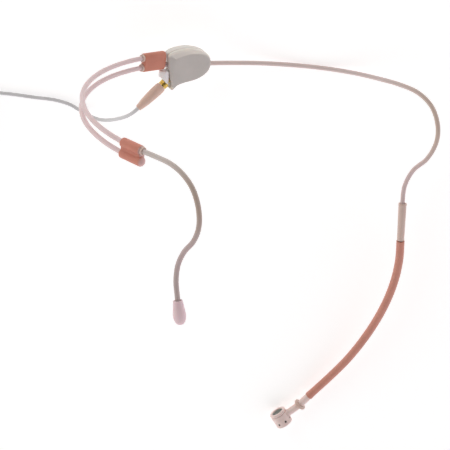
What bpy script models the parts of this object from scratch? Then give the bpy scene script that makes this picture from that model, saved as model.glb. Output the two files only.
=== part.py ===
"""Headset microphone: a twin-wire neckband with two ear hooks, a gooseneck boom and a drum capsule.

The headset lies at rest on its microphone side. Design frame, in millimetres until placed:
X runs forward along the microphone-side arm, Y is the wearer's up, Z is up from the table towards the
other ear. Its zero is on the table below the centre of the neckband's arc, in the mid-plane of the band.
An empty carries everything to the middle of the headset's own footprint.
"""

import math

import bmesh
import bpy
from mathutils import Matrix, Vector

MM = 0.001
GAP = 0.3  # clearance between pieces that touch

# neckband: two parallel wires bent to one arc about an axis along Y
WIRE_R = 0.9
CORE_R = 0.3
SHEATH_WALL = 0.3
BAND_R = 58.3
BAND_Z = 66.0
WIRE_Y = 1.9  # each wire lies this far from the band's mid-plane
RIGHT_START, RIGHT_END = 31.0, 140.0  # degrees round the arc from straight down, towards the back
LEFT_START, LEFT_END = 34.5, 141.5

# double sleeves that join the two wires
SLEEVE_R = 1.75
SLEEVE_BORE = 1.2
SLEEVE_LEFT_AT, SLEEVE_LEFT_LEN = 138.3, 8.8
SLEEVE_RIGHT_AT, SLEEVE_RIGHT_LEN = 37.05, 9.7
SLEEVE_CLOSED = 1.2  # wall at the closed end of a bore
BUSH_R = 1.45
BUSH_LEN = 0.8

# housing on the microphone-side arm
HOUSING_AT = (-22.0, -1.9, 12.9)
HOUSING_PITCH = -24.0
HOUSING_HALF = 2.8
HOUSING_WALL = 1.2
SEAM_AT = 1.0  # height of the seam between the base and the cover
COVER_TOP = 1.0  # thickness of the cover's face
RIM_FALL = 1.3  # height of the cover's rounded edge
RIM_LEAST, RIM_MOST = 0.5, 2.9  # width of that edge, which is widest at the upper rear corner
RIM_LEAN = (-0.6, 0.8)
RIM_REACH = 8.8
HOUSING_OUTLINE = [
    (-8.9, 4.2), (-7.6, 5.5), (-5.3, 6.3), (-1.2, 6.85), (2.6, 6.4), (5.6, 5.4), (7.7, 3.8), (8.7, 1.4), (8.6, -0.8),
    (7.9, -2.5), (6.0, -4.3), (3.0, -5.8), (-1.2, -6.8), (-4.0, -7.7), (-5.3, -8.9), (-6.3, -9.6), (-6.8, -9.2),
    (-6.5, -8.0), (-7.4, -4.8), (-8.1, -1.5), (-8.6, 1.5),
]  # fmt: skip
HOUSING_BLUNT = -8.5  # the inside leaves out the outline's pointed corner, below this

# plug and its socket, in the housing's own plane
PLUG_FROM = (-8.25, -7.1)
PLUG_TO = (-18.6, -17.2)
KNUCKLE_AT = (-9.3, -3.9)
KNUCKLE_R = 2.1
SOCKET_R = 1.1
RING_R, RING_BORE, RING_LEN = 1.8, 1.45, 2.0
BOOT_R, BOOT_TIP_R = 2.08, 1.2

# ear hook and boom routes
RIGHT_ARM = [
    (-21.5, -1.9, 12.6), (-12.3, -1.9, 8.9), (-2.6, -1.9, 5.6), (8.0, -1.9, 2.8), (20.0, -1.9, 1.2),
    (31.5, -1.9, 1.1), (43.0, -1.9, 3.0), (53.0, -1.9, 6.8),
]  # fmt: skip
RIGHT_HOOK = [
    (60.5, -2.2, 10.1), (67.3, -3.6, 13.1), (72.9, -7.7, 15.7), (76.1, -14.3, 17.2), (76.7, -21.5, 17.4),
    (74.4, -29.0, 16.4), (70.3, -34.9, 14.6), (68.2, -41.5, 13.7), (68.1, -47.0, 13.6), (68.9, -54.5, 14.0),
]  # fmt: skip
LEFT_SLOPE = 38.5  # rise of the far arm where it leaves the arc
LEFT_HOOK = [
    (7.0, 1.9), (13.5, 1.6), (18.9, -0.2), (23.5, -3.7), (26.6, -9.2), (27.7, -15.4), (26.3, -21.2),
    (23.0, -26.4), (21.1, -31.8), (20.9, -37.3), (21.8, -41.7), (23.1, -46.3),
]  # fmt: skip
TIP_END = (25.15, -53.7)
TIP_R = 2.25
COUPLER_FROM = (68.4, -49.9, 13.8)
COUPLER_TO = (70.0, -65.6, 14.4)
COUPLER_R, COUPLER_END_R = 1.6, 1.45
BOOM = [
    (70.05, -65.97, 14.4), (70.9, -74.5, 13.9), (70.7, -84.0, 12.9), (69.2, -94.3, 11.7), (66.4, -105.0, 10.2),
    (62.5, -115.7, 8.6), (57.7, -126.0, 7.0), (52.1, -135.4, 5.6), (44.5, -146.6, 4.4),
]  # fmt: skip
BOOM_R = 1.65
GOOSENECK_R = 0.7
BEND_AT = (66.4, -105.0, 10.2)

# microphone head
COLLAR_AT = (41.3, -151.5, 4.05)
COLLAR_R = 2.65
STEM_R = 1.5
NECK_R = 1.55
CAPSULE_AT = (34.2, -158.8, 4.05)
CAPSULE_FACE = (-4.8, 6.1, -0.85)
CAPSULE_R = 3.65
CAPSULE_HALF = 3.35
VENTS, VENT_R, VENT_LOW, VENT_TURN = 7, 0.4, 1.4, 26.0  # VENT_TURN is in degrees

# cable: free length on the table, coil, far lead and jack
CORD_R = 0.75
CORD_Z = 0.8
CORD_ROUTE = [
    (-38.55, -18.6, 20.3), (-40.4, -20.7, 20.6), (-42.5, -23.1, 18.9), (-44.6, -25.2, 16.4),
    (-46.9, -27.3, 13.1), (-49.2, -29.3, 9.6), (-51.6, -30.9, 6.5), (-54.7, -31.7, 4.0),
    (-58.2, -31.3, 2.2), (-62.0, -29.9, 1.1), (-66.0, -28.1, CORD_Z), (-72.0, -26.9, CORD_Z),
    (-80.0, -26.7, CORD_Z), (-88.0, -26.4, CORD_Z), (-95.0, -26.4, CORD_Z), (-102.0, -26.5, CORD_Z),
    (-107.8, -26.4, 1.2),
]  # fmt: skip
COIL_AT = (-115.0, -41.1)
COIL_R_IN, COIL_R_OUT = 7.3, 15.5
COIL_LOW, COIL_HIGH = 0.7, 7.1
TIE_AT, TIE_WIDE, TIE_THICK = -45.0, 3.0, 0.4
LEAD_ROUTE = [(-126.6, -52.2, 5.9), (-125.3, -56.5, 4.9), (-124.7, -61.0, 4.1), (-124.6, -66.2, 3.9)]
JACK_FROM = (-124.6, -66.5, 3.9)
JACK_R = 3.8

for leftover in list(bpy.data.objects):
    bpy.data.objects.remove(leftover)

headset = bpy.data.collections.new("headset_microphone")
cutters = bpy.data.collections.new("cutters")
bpy.context.scene.collection.children.link(headset)
bpy.context.scene.collection.children.link(cutters)


def vec(point):
    """A point in millimetres as a vector in metres."""
    return Vector(point) * MM


def along(origin, direction, side=(0, 0, 1)):
    """Placement with its +Z along direction and its +X as near as it can be to side."""
    z = Vector(direction).normalized()
    y = z.cross(Vector(side))
    y = y.normalized() if y.length > 1e-6 else Vector((0, 1, 0))
    x = y.cross(z)
    turn = Matrix((x, y, z)).transposed().to_4x4()
    return Matrix.Translation(vec(origin)) @ turn


def material(name, colour, roughness, metallic=0.0):
    made = bpy.data.materials.new(name)
    made.use_nodes = True
    shader = made.node_tree.nodes["Principled BSDF"]
    shader.inputs["Base Color"].default_value = (*colour, 1)
    shader.inputs["Roughness"].default_value = roughness
    shader.inputs["Metallic"].default_value = metallic
    return made


SALMON = material("salmon_sleeve", (0.52, 0.19, 0.14), 0.5)
SHEATH = material("wire_sheath", (0.62, 0.50, 0.44), 0.42)
STEEL = material("spring_steel", (0.55, 0.55, 0.56), 0.3, 1.0)
SHELL = material("housing_shell", (0.62, 0.58, 0.53), 0.45)
FACE = material("housing_face", (0.46, 0.42, 0.39), 0.5)
BLUSH = material("blush_plastic", (0.63, 0.48, 0.42), 0.4)
GOLD = material("gold", (0.75, 0.52, 0.16), 0.22, 1.0)
CORD = material("cord_jacket", (0.48, 0.46, 0.45), 0.5)
BLACK = material("black_plastic", (0.03, 0.03, 0.03), 0.5)
BOARD = material("board", (0.05, 0.22, 0.09), 0.5)
MESH = material("grille_mesh", (0.10, 0.11, 0.10), 0.45, 0.8)
FELT = material("felt", (0.12, 0.12, 0.12), 0.95)


def empty(name, at, parent=None):
    """An empty on a joint's axis. What it carries is still given in the design frame."""
    made = bpy.data.objects.new(name, None)
    headset.objects.link(made)
    made["at"] = vec(at)
    made.parent = parent
    made.location = vec(at) - (Vector(parent["at"]) if parent else Vector())
    return made


ORIGIN = (9.2, -79.4, 0.0)  # middle of the headset's footprint, in the design frame
root = empty("headset_frame", (0, 0, 0))
root.location = -vec(ORIGIN)
band_frame = empty("band_frame", (0, 0, BAND_Z), root)
boom_frame = empty("boom_frame", COUPLER_TO, root)
mic_frame = empty("mic_frame", BEND_AT, boom_frame)
plug_frame_empty = empty("plug_frame", HOUSING_AT, root)
jack_ring_frame = empty("jack_ring_frame", JACK_FROM, plug_frame_empty)


def place(obj, carrier, placement=None):
    """Links the object, and parents it to its carrier with its placement in the design frame."""
    headset.objects.link(obj)
    obj.parent = carrier
    obj.matrix_parent_inverse = Matrix.Translation(-Vector(carrier["at"]))
    obj.matrix_basis = placement or Matrix.Identity(4)
    return obj


def smooth(points, step):
    """Evenly spaced points on a Catmull-Rom curve through the given points."""
    p = [Vector(q) for q in points]
    p = [2 * p[0] - p[1]] + p + [2 * p[-1] - p[-2]]
    fine = []
    for a, b, c, d in zip(p, p[1:], p[2:], p[3:]):
        for k in range(24):
            t = k / 24
            bend = (2 * a - 5 * b + 4 * c - d) * t * t + (3 * b - a - 3 * c + d) * t**3
            fine.append(b + ((c - a) * t + bend) / 2)
    fine.append(p[-2])
    return resample(fine, step)


def resample(points, step):
    """The same route with its points step apart, both ends kept."""
    lengths = [(b - a).length for a, b in zip(points, points[1:])]
    count = max(2, round(sum(lengths) / step))
    spacing = sum(lengths) / count
    out, walked, target = [points[0]], 0.0, spacing
    for a, b, size in zip(points, points[1:], lengths):
        while size > 0 and walked + size >= target - 1e-9 and len(out) < count:
            out.append(a.lerp(b, (target - walked) / size))
            target += spacing
        walked += size
    return out + [points[-1]]


def arc_point(angle, y):
    """A point on the neckband's arc, angle degrees round from straight down towards the back."""
    turn = math.radians(angle)
    return Vector((-BAND_R * math.sin(turn), y, BAND_Z - BAND_R * math.cos(turn)))


def arc_points(start, end, y):
    count = round(abs(end - start) / 4.5)
    return [arc_point(start + (end - start) * k / count, y) for k in range(count + 1)]


def arc_placement(angle):
    """Frame on the arc: +Z forward along the wires, +X along the band's axis."""
    turn = math.radians(angle)
    return along(arc_point(angle, 0), (math.cos(turn), 0, -math.sin(turn)), (0, 1, 0))


def left_arm_point(forward, y):
    """A point in the plane of the other ear's hook, forward from the end of the arc."""
    slope = math.radians(LEFT_SLOPE)
    foot = arc_point(LEFT_END, y)
    return foot + Vector((math.cos(slope), 0, math.sin(slope))) * forward


def tube(name, points, radius, look, carrier, wall=0.0, resolution=2):
    """A round wire along the points, or a hollow one where wall is given."""
    data = bpy.data.curves.new(name, "CURVE")
    data.dimensions = "3D"
    data.bevel_depth = radius * MM
    data.bevel_resolution = resolution
    data.use_fill_caps = wall == 0
    line = data.splines.new("POLY")
    line.points.add(len(points) - 1)
    for knot, point in zip(line.points, points):
        knot.co = (*vec(point), 1)
    line.use_smooth = True
    data.materials.append(look)
    obj = place(bpy.data.objects.new(name, data), carrier)
    if wall:
        skin = obj.modifiers.new("wall", "SOLIDIFY")
        skin.thickness = wall * MM
        skin.offset = -1
    return obj


def turned(name, profile, placement, look, carrier, steps=20):
    """A turned piece. The profile is (radius, height) pairs, outer side from top to bottom."""
    mesh = bpy.data.meshes.new(name)
    ring = profile[0] == profile[-1]
    corners = profile[:-1] if ring else profile
    edges = [(k, k + 1) for k in range(len(corners) - 1)]
    if ring:
        edges.append((len(corners) - 1, 0))
    mesh.from_pydata([(r * MM, 0, h * MM) for r, h in corners], edges, [])
    mesh.materials.append(look)
    obj = place(bpy.data.objects.new(name, mesh), carrier, placement)
    turn = obj.modifiers.new("turn", "SCREW")
    turn.steps = steps
    turn.render_steps = steps
    turn.use_merge_vertices = True
    turn.merge_threshold = 0.00001
    turn.use_smooth_shade = True
    return obj


def ring_profile(inner, outer, low, high):
    return [(outer, high), (outer, low), (inner, low), (inner, high), (outer, high)]


def closed_mesh(obj):
    """Replaces a curve object by its closed mesh."""
    graph = bpy.context.evaluated_depsgraph_get()
    mesh = bpy.data.meshes.new_from_object(obj.evaluated_get(graph))
    work = bmesh.new()
    work.from_mesh(mesh)
    bmesh.ops.remove_doubles(work, verts=work.verts, dist=0.000001)
    bmesh.ops.recalc_face_normals(work, faces=work.faces)
    work.to_mesh(mesh)
    work.free()
    return mesh


def plate(name, outlines, low, high, placement, look, carrier):
    """A flat piece between two heights. The first outline is its rim and the others are holes."""
    data = bpy.data.curves.new(name + "_outline", "CURVE")
    data.dimensions = "2D"
    data.fill_mode = "BOTH"
    data.extrude = (high - low) / 2 * MM
    for outline in outlines:
        line = data.splines.new("POLY")
        line.points.add(len(outline) - 1)
        for knot, (x, y) in zip(line.points, outline):
            knot.co = (x * MM, y * MM, 0, 1)
        line.use_cyclic_u = True
    guide = bpy.data.objects.new(name + "_outline", data)
    cutters.objects.link(guide)
    bpy.context.view_layer.update()
    mesh = closed_mesh(guide)
    bpy.data.objects.remove(guide)
    mesh.name = name
    mesh.materials.append(look)
    lift = Matrix.Translation((0, 0, (high + low) / 2 * MM))
    return place(bpy.data.objects.new(name, mesh), carrier, placement @ lift)


def circle(radius, centre=(0, 0), count=16, start=0, sweep=360):
    """Points round a circle or an arc of one, in degrees."""
    last = count if sweep == 360 else count - 1
    turns = [math.radians(start + sweep * k / last) for k in range(count)]
    return [(centre[0] + radius * math.cos(t), centre[1] + radius * math.sin(t)) for t in turns]


def rod_cutter(name, radius, low, high, placement, carrier, segments=16):
    mesh = bpy.data.meshes.new(name)
    work = bmesh.new()
    lift = Matrix.Translation((0, 0, (high + low) / 2 * MM))
    bmesh.ops.create_cone(
        work, cap_ends=True, segments=segments, radius1=radius * MM, radius2=radius * MM, depth=(high - low) * MM
    )
    work.to_mesh(mesh)
    work.free()
    return as_cutter(place(bpy.data.objects.new(name, mesh), carrier, placement @ lift))


def as_cutter(obj):
    headset.objects.unlink(obj)
    cutters.objects.link(obj)
    obj.hide_render = True
    obj.display_type = "WIRE"
    return obj


def combine(target, other, operation="DIFFERENCE"):
    cut = target.modifiers.new(other.name, "BOOLEAN")
    cut.operation = operation
    cut.object = other


def make_wires():
    """The two sheathed spring wires. Each ends inside one sleeve and slides through the other."""
    right = arc_points(RIGHT_END, RIGHT_START, -WIRE_Y)
    right += smooth([right[-1]] + [Vector(p) for p in RIGHT_ARM + RIGHT_HOOK], 3.2)[1:]
    left = arc_points(LEFT_START, LEFT_END, WIRE_Y)
    hook = [left_arm_point(forward, y) for forward, y in LEFT_HOOK]
    left += smooth([left[-1]] + hook, 3.0)[1:]
    for side, route, carrier in (("right", right, root), ("left", left, band_frame)):
        tube(side + "_wire_sheath", route, WIRE_R, SHEATH, carrier, wall=SHEATH_WALL)
        tube(side + "_wire_core", route, CORE_R, STEEL, carrier, resolution=0)


def sleeve_rim():
    """A double sleeve's section: two lobes with a valley between them on the outer side."""
    upper = circle(SLEEVE_R, (WIRE_Y, 0), 13, -118, 206)
    lower = circle(SLEEVE_R, (-WIRE_Y, 0), 13, 92, 206)
    return upper + lower + [(0, -SLEEVE_R * 0.7)]


def make_sleeve(side, angle, length, carrier, bushes, closed=()):
    """A double sleeve with bushes where the wires come out. A lobe is (end, wire), each a sign."""
    frame = arc_placement(angle)
    half = length / 2
    sagitta = half**2 / 2 / BAND_R
    shift = frame @ Matrix.Translation((0, 0.35 * sagitta * MM, 0))
    sleeve = plate(side + "_sleeve", [sleeve_rim()], -half, half, shift, SALMON, carrier)
    for end, wire in closed:
        spot = shift @ Matrix.Translation((wire * WIRE_Y * MM, 0, end * half * MM))
        dome = [(0, 1.4), (0.75, 1.25), (1.3, 0.85), (1.6, 0.3), (1.7, -0.5), (0, -0.5)]
        profile = dome if end > 0 else [(r, -h) for r, h in reversed(dome)]
        cap = turned(f"{side}_sleeve_dome", profile, spot, SALMON, carrier, 16)
        combine(sleeve, as_cutter(cap), "UNION")
    for wire in (1, -1):
        hole = shift @ Matrix.Translation((wire * WIRE_Y * MM, 0, 0))
        low = -half + SLEEVE_CLOSED if (-1, wire) in closed else -half - 1
        combine(sleeve, rod_cutter(f"{side}_bore_{wire}", SLEEVE_BORE, low, half + 1, hole, carrier))
    for end, wire in bushes:
        middle = end * (half + GAP / 2 + BUSH_LEN / 2)
        spot = arc_placement(angle - math.degrees(middle / BAND_R))
        spot = spot @ Matrix.Translation((wire * WIRE_Y * MM, 0, 0))
        profile = ring_profile(WIRE_R + 0.25, BUSH_R, -BUSH_LEN / 2, BUSH_LEN / 2)
        turned(f"{side}_sleeve_bush_{'upper' if wire > 0 else 'lower'}", profile, spot, BLUSH, carrier, 16)


def make_ear_tip():
    """The soft bead that closes the end of the other ear's hook."""
    start = left_arm_point(*LEFT_HOOK[-1])
    end = left_arm_point(*TIP_END)
    axis = (end - start).normalized()
    length = (end - start).length
    profile = [(0, -1.9), (1.2, -1.9), (1.2, 0.9), (1.6, 0.9), (1.75, 0.0), (1.95, -1.6), (2.25, -3.2)]
    profile += [(TIP_R, -length + 3.4), (2.15, -length + 2.2), (1.6, -length + 0.9)]
    profile += [(1.2, -length + 0.12), (0, -length)]
    turned("ear_tip", profile, along(start - axis * 0.9, -axis), BLUSH, band_frame)


def housing_placement():
    pitch = Matrix.Rotation(math.radians(-HOUSING_PITCH), 4, "Y")
    return Matrix.Translation(vec(HOUSING_AT)) @ pitch


def shrink(outline, distance):
    """The outline moved inwards by a distance. The outline runs clockwise."""
    points = [Vector((*p, 0)) for p in outline]
    moved = []
    for k, point in enumerate(points):
        run = (points[(k + 1) % len(points)] - points[k - 1]).normalized()
        moved.append((point.x + run.y * distance, point.y - run.x * distance))
    return moved


def rounded(outline):
    """The closed outline as a smooth curve's points."""
    loop = [(*p, 0) for p in outline + outline[:1]]
    return [(p.x, p.y) for p in smooth(loop, 1.2)[:-1]]


def rim_ring(outline, share):
    """The outline set in by a share of the rounded edge's width, which is widest where it leans."""
    moved = []
    for k, (x, y) in enumerate(outline):
        before, after = outline[k - 1], outline[(k + 1) % len(outline)]
        run = Vector((after[0] - before[0], after[1] - before[1])).normalized()
        lean = min(1.0, max(0.0, x * RIM_LEAN[0] + y * RIM_LEAN[1]) / RIM_REACH)
        inset = (RIM_LEAST + (RIM_MOST - RIM_LEAST) * lean) * share
        moved.append((x + run.y * inset, y - run.x * inset))
    return moved


def crowned(name, outline, low, high, placement, look, carrier):
    """A plate whose upper edge is rounded off."""
    rings = [(outline, low), (outline, high - RIM_FALL)]
    for k in range(1, 5):
        turn = math.pi / 2 * k / 4
        rings.append((rim_ring(outline, 1 - math.cos(turn)), high - RIM_FALL * (1 - math.sin(turn))))
    count = len(outline)
    verts = [Vector((x, y, height)) * MM for ring, height in rings for x, y in ring]
    faces = [tuple(range(count)), tuple(range(len(verts) - 1, len(verts) - 1 - count, -1))]
    for base in range(0, len(verts) - count, count):
        for k in range(count):
            after = (k + 1) % count
            faces.append((base + k, base + count + k, base + count + after, base + after))
    mesh = bpy.data.meshes.new(name)
    mesh.from_pydata(verts, [], faces)
    work = bmesh.new()
    work.from_mesh(mesh)
    bmesh.ops.recalc_face_normals(work, faces=work.faces)
    work.to_mesh(mesh)
    work.free()
    mesh.materials.append(look)
    return place(bpy.data.objects.new(name, mesh), carrier, placement)


def make_housing():
    """The base is a tray whose flat outer face is the resting face, and the cover closes it."""
    frame = housing_placement()
    outline = rounded(HOUSING_OUTLINE)
    tray = plate("housing_base", [outline], -HOUSING_HALF, SEAM_AT - GAP / 2, frame, SHELL, root)
    lid = crowned("housing_cover", outline, SEAM_AT + GAP / 2, HOUSING_HALF, frame, FACE, root)
    inside = rounded(shrink([p for p in HOUSING_OUTLINE if p[1] > HOUSING_BLUNT], HOUSING_WALL))
    floor, ceiling = -HOUSING_HALF + HOUSING_WALL, HOUSING_HALF - COVER_TOP
    pocket = as_cutter(plate("pocket", [inside], floor, ceiling, frame, SHELL, root))
    wire = [arc_point(RIGHT_START + 6, -WIRE_Y), arc_point(RIGHT_START, -WIRE_Y)] + [Vector(p) for p in RIGHT_ARM]
    channel = mesh_cutter(tube("wire_channel", smooth(wire, 2.0)[:20], WIRE_R + GAP, SHELL, root))
    seat = rod_cutter("knuckle_seat", KNUCKLE_R + GAP, -2.0, 3.2, knuckle_placement(), root)
    bore = rod_cutter("socket_bore", SOCKET_R + GAP, -7.4, 0.5, plug_placement(), root)
    for piece in (tray, lid):
        for cutter in (pocket, channel, seat, bore):
            combine(piece, cutter)
    return bore


def mesh_cutter(obj):
    """Turns a tube into a mesh, so that a Boolean can use it."""
    bpy.context.view_layer.update()
    mesh = closed_mesh(obj)
    name, carrier, basis = obj.name, obj.parent, obj.matrix_basis.copy()
    bpy.data.objects.remove(obj)
    return as_cutter(place(bpy.data.objects.new(name, mesh), carrier, basis))


def in_housing(point, height=0.0):
    """A point of the housing's own plane, in the design frame."""
    return (housing_placement() @ vec((*point, height))) / MM


def knuckle_placement():
    middle = in_housing(KNUCKLE_AT)
    return along(middle, in_housing((KNUCKLE_AT[0], KNUCKLE_AT[1] - 1)) - middle)


def plug_placement():
    start = in_housing(PLUG_FROM)
    return along(start, in_housing(PLUG_TO) - start)


def box(name, low, high, placement, look, carrier):
    """A block between two corners of its own frame."""
    mesh = bpy.data.meshes.new(name)
    work = bmesh.new()
    bmesh.ops.create_cube(work, size=1)
    size = [(b - a) * MM for a, b in zip(low, high)]
    middle = [(b + a) / 2 * MM for a, b in zip(low, high)]
    bmesh.ops.scale(work, vec=size, verts=work.verts)
    bmesh.ops.translate(work, vec=middle, verts=work.verts)
    work.to_mesh(mesh)
    work.free()
    mesh.materials.append(look)
    return place(bpy.data.objects.new(name, mesh), carrier, placement)


def make_housing_insides(bore):
    """Socket, its knuckle, the terminal board and the crimp that holds the wire."""
    frame = housing_placement()
    plug = plug_placement()
    low, high = -1.7, 2.9
    profile = [(0, high), (KNUCKLE_R, high), (KNUCKLE_R, low + 0.6), (KNUCKLE_R - 0.6, low), (0, low)]
    knuckle = turned("socket_knuckle", profile, knuckle_placement(), BLUSH, root)
    combine(knuckle, rod_cutter("knuckle_end", 4.0, -GAP, 5.0, plug, root))
    combine(knuckle, bore)
    turned("socket_shell", ring_profile(0.8, SOCKET_R, -5.6, -0.6), plug, GOLD, root)
    turned("socket_insulator", ring_profile(0.65, SOCKET_R, -6.6, -5.9), plug, BLACK, root)
    turned("socket_contact", [(0, -3.8), (0.35, -3.8), (0.35, -7.2), (0, -7.2)], plug, GOLD, root, 12)
    box("terminal_board", (-3.5, 1.8, -1.3), (3.5, 4.4, -0.5), frame, BOARD, root)
    wire = smooth([arc_point(RIGHT_START, -WIRE_Y)] + [Vector(p) for p in RIGHT_ARM], 1.0)
    spot = min(wire, key=lambda p: abs(p.x + 18.0))
    ahead = min(wire, key=lambda p: abs(p.x + 16.0))
    turned("wire_crimp", ring_profile(WIRE_R + 0.25, 1.5, -1.5, 1.5), along(spot, ahead - spot), STEEL, root)


def make_plug():
    """The cable's plug: contact pin, insulator, gold ring and tapered boot."""
    frame = plug_placement()
    length = (Vector(in_housing(PLUG_TO)) - Vector(in_housing(PLUG_FROM))).length
    carrier = plug_frame_empty
    turned("plug_pin", [(0, RING_LEN), (0.35, RING_LEN), (0.35, -3.2), (0.2, -3.5), (0, -3.5)], frame, GOLD, carrier, 12)
    turned("plug_insulator", ring_profile(0.65, 1.15, 0.1, RING_LEN - 0.1), frame, BLACK, carrier)
    turned("plug_ring", ring_profile(RING_BORE, RING_R, 0.0, RING_LEN), frame, GOLD, carrier)
    start = RING_LEN + GAP
    profile = [(0, length - 3.5), (CORD_R + GAP, length - 3.5), (CORD_R + GAP, length), (BOOT_TIP_R, length)]
    profile += [(1.42, length - 1.6), (1.78, length - 3.6), (BOOT_R, start + 4.2), (BOOT_R, start + 1.6)]
    profile += [(RING_R + 0.05, start), (0, start)]
    turned("plug_boot", profile, frame, BLUSH, carrier)


def make_boom():
    """Coupler tube on the hook's end, then the sleeved gooseneck."""
    axis = Vector(COUPLER_TO) - Vector(COUPLER_FROM)
    frame = along(COUPLER_TO, axis)
    length = axis.length
    bore = WIRE_R + GAP
    profile = [(0, -length + 6.0), (bore, -length + 6.0), (bore, -length), (COUPLER_R, -length)]
    profile += [(COUPLER_END_R, 0), (GOOSENECK_R + GAP, 0), (GOOSENECK_R + GAP, -6.0), (0, -6.0)]
    turned("boom_coupler", profile[::-1], frame, BLUSH, root)
    boom = smooth(BOOM, 3.2)
    tube("boom_sleeve", boom, BOOM_R, SALMON, boom_frame, wall=0.55, resolution=2)
    into_coupler = Vector(COUPLER_TO) - axis.normalized() * 5.0
    into_neck = boom[-1] + neck_direction() * 2.8
    tube("boom_gooseneck", [into_coupler] + boom + [into_neck], GOOSENECK_R, STEEL, boom_frame)


def neck_direction():
    return (Vector(COLLAR_AT) - Vector(BOOM[-1])).normalized()


def make_microphone():
    """Neck, collar, second neck and the drum capsule with its vents, grille and cartridge."""
    frame = along(BOOM[-1], neck_direction())
    far = (Vector(COLLAR_AT) - Vector(BOOM[-1])).length
    bore = GOOSENECK_R + GAP
    profile = [(0, 3.3), (bore, 3.3), (bore, GAP), (NECK_R, GAP), (NECK_R, far - 0.95), (0, far - 0.95)]
    turned("mic_neck", profile[::-1], frame, BLUSH, mic_frame)
    rim = [(COLLAR_R, 0.45), (COLLAR_R, -0.45), (COLLAR_R - 0.2, -0.65), (0.6, -0.65), (0.6, 0.65)]
    rim += [(COLLAR_R - 0.2, 0.65), (COLLAR_R, 0.45)]
    towards = Vector(CAPSULE_AT) - Vector(COLLAR_AT)
    turned("mic_collar", rim, along(COLLAR_AT, neck_direction()), BLUSH, mic_frame, 24)
    drum = along(CAPSULE_AT, CAPSULE_FACE)
    stem = [(0, towards.length), (STEM_R, towards.length), (STEM_R, 1.05), (0, 1.05)]
    saddle = turned("capsule_stem", stem, along(COLLAR_AT, towards), BLUSH, mic_frame)
    combine(saddle, rod_cutter("stem_saddle", CAPSULE_R + GAP, -6, 6, drum, mic_frame, 32))
    r, half = CAPSULE_R, CAPSULE_HALF
    cup = [(0, -half + 0.6), (r - 0.55, -half + 0.6), (r - 0.55, half - 1.4), (r, half - 1.4)]
    cup += [(r, -half + 0.3), (r - 0.3, -half), (0, -half)]
    body = turned("capsule_cup", cup, drum, BLUSH, mic_frame, 32)
    for k in range(VENTS):
        across = drum @ Matrix.Translation((0, 0, -VENT_LOW * MM))
        across = across @ Matrix.Rotation(math.radians(VENT_TURN + 360 * k / VENTS), 4, "Z")
        across = across @ Matrix.Rotation(math.pi / 2, 4, "Y")
        combine(body, rod_cutter(f"vent_{k}", VENT_R, r - 0.9, r + 1, across, mic_frame, 10))
    cap = [(r - 0.35, half), (r, half - 0.35), (r, half - 1.1), (2.5, half - 1.1), (2.5, half), (r - 0.35, half)]
    turned("capsule_cap", cap, drum, BLUSH, mic_frame, 32)
    for name, outer, low, high, look in (
        ("capsule_grille", 2.2, half - 1.05, half - 0.75, MESH),
        ("capsule_felt", 2.75, half - 1.75, half - 1.4, FELT),
        ("capsule_cartridge", 2.75, -half + 2.3, half - 2.05, STEEL),
        ("capsule_board", 2.75, -half + 0.95, -half + 1.7, BOARD),
    ):
        turned(name, [(0, high), (outer, high), (outer, low), (0, low)], drum, look, mic_frame, 24)


def make_cable():
    """The cord's free length, its coil with a tie, and the lead to the jack."""
    carrier = plug_frame_empty
    tube("cable", smooth(CORD_ROUTE, 2.4), CORD_R, CORD, carrier)
    at = Matrix.Translation(vec((*COIL_AT, 0)))
    inner, outer, low, high = COIL_R_IN, COIL_R_OUT, COIL_LOW, COIL_HIGH
    section = [(outer - 0.8, high), (outer, high - 0.8), (outer, low + 0.8), (outer - 0.8, low)]
    section += [(inner + 0.8, low), (inner, low + 0.8), (inner, high - 0.8), (inner + 0.8, high)]
    turned("cable_coil", section + section[:1], at, CORD, carrier, 36)
    turn = at @ Matrix.Rotation(math.radians(TIE_AT), 4, "Z") @ Matrix.Rotation(math.pi / 2, 4, "X")
    clear, out = 0.25, 0.25 + TIE_THICK
    loops = []
    for off in (out, clear):
        x0, x1, y0, y1 = inner - off, outer + off, low - off, high + off
        loops.append([(x0, y0), (x1, y0), (x1, y1), (x0, y1)])
    plate("coil_tie", loops, -TIE_WIDE / 2, TIE_WIDE / 2, turn, BLACK, carrier)
    tube("cable_lead", smooth(LEAD_ROUTE, 2.4), CORD_R, CORD, carrier)


def make_jack():
    """Locking 3.5 mm jack at the cable's far end."""
    frame = along(JACK_FROM, (0, -1, 0))
    carrier = plug_frame_empty
    bore = CORD_R + GAP
    boot = [(0, 12.0), (3.3, 12.0), (3.1, 8.0), (1.5, 0.0), (bore, 0.0), (bore, 4.0), (0, 4.0)]
    turned("jack_boot", boot, frame, BLACK, carrier)
    shell = [(2.1, 28.0), (JACK_R - 0.3, 28.0), (JACK_R, 27.7), (JACK_R, 12.3), (0, 12.3), (0, 22.0), (2.1, 22.0)]
    turned("jack_shell", shell + shell[:1], frame, STEEL, carrier, 24)
    turned("jack_ring", ring_profile(2.1, JACK_R, 28.3, 33.0), frame, STEEL, jack_ring_frame, 24)
    pin = [(0, 43.0), (0.9, 42.2), (1.7, 41.0), (1.4, 39.6), (1.75, 39.2), (1.75, 23.0), (0, 23.0)]
    turned("jack_plug", pin, frame, GOLD, carrier)


make_wires()
make_sleeve("left", SLEEVE_LEFT_AT, SLEEVE_LEFT_LEN, root, [(-1, 1)], [(-1, -1)])
make_sleeve("right", SLEEVE_RIGHT_AT, SLEEVE_RIGHT_LEN, band_frame, [(-1, 1), (-1, -1)])
make_ear_tip()
make_housing_insides(make_housing())
make_plug()
make_boom()
make_microphone()
make_cable()
make_jack()
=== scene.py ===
import math

import bmesh
import bpy
from mathutils import Matrix, Vector


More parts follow.
